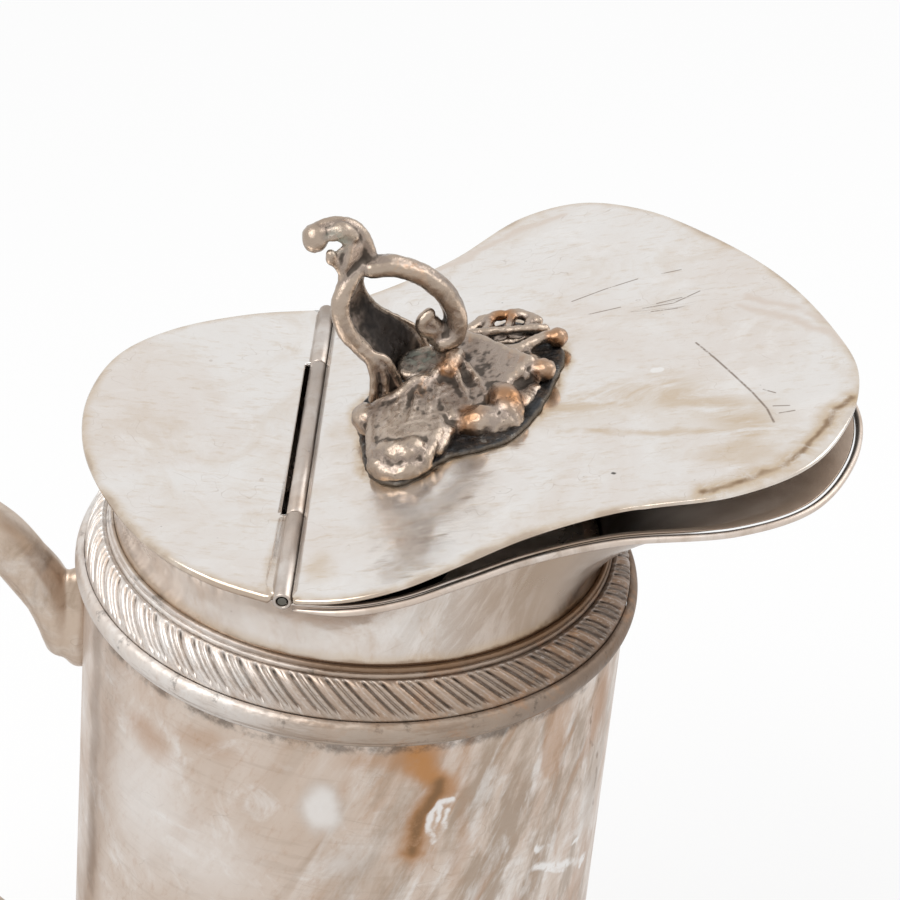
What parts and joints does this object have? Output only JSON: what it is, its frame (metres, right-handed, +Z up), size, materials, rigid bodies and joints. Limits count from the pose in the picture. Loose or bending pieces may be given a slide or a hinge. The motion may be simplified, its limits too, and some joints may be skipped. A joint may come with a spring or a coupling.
{
  "type": "thermal carafe",
  "caption": "Silver-plated thermal carafe with a fluted collar, flared neck and wide pouring lip, hinged half lid with a cast thumbpiece, side handle and double-walled glass flask.",
  "frame": {"origin": "centre of the base cover's flat underside, on the surface that the carafe stands on", "axes": "+Z up, -X towards the handle, Y along the hinge; the pouring lip points between +X and +Y"},
  "size_m": [0.2435, 0.1722, 0.2767],
  "materials": {
    "silver_plate": "silver plated and lightly tarnished, satin",
    "bare_casting": "cast, worn plate with dark patina in the hollows",
    "soft_solder": "dull dark grey solder",
    "steel": "turned, plain",
    "silvered_glass": "clear glass silvered between the walls",
    "rubber": "matt black"
  },
  "bodies": {
    "casing": {"base_cover": "silver_plate", "base_screw_1": "steel", "base_screw_2": "steel", "base_screw_3": "steel", "body_shell": "silver_plate", "collar_bead": "silver_plate", "flask_cushion": "rubber", "flask_inner_wall": "silvered_glass", "flask_outer_wall": "silvered_glass", "foot_ring": "silver_plate", "gadroon_band": "silver_plate", "handle_grip": "silver_plate", "handle_lower_lug": "silver_plate", "handle_upper_lug": "silver_plate", "hinge_knuckle_far": "silver_plate", "hinge_knuckle_near": "silver_plate", "hinge_pin": "steel", "mouth_gasket": "rubber", "neck_bead": "silver_plate", "neck_spout": "silver_plate", "pouring_funnel": "silver_plate", "rear_plate": "silver_plate", "rim_wire": "silver_plate"},
    "lid": {"lid_plate": "silver_plate", "lid_knuckle": "silver_plate", "thumbpiece_solder": "soft_solder", "thumbpiece_leaves": "bare_casting", "thumbpiece_scroll": "bare_casting"}
  },
  "joints": [
    {"name": "lid_hinge", "type": "hinge", "parent": "casing", "child": "lid", "pos_m": [-0.014, 0, 0.2244], "axis": [0, -1, 0], "range_deg": [0, 78]}
  ]
}
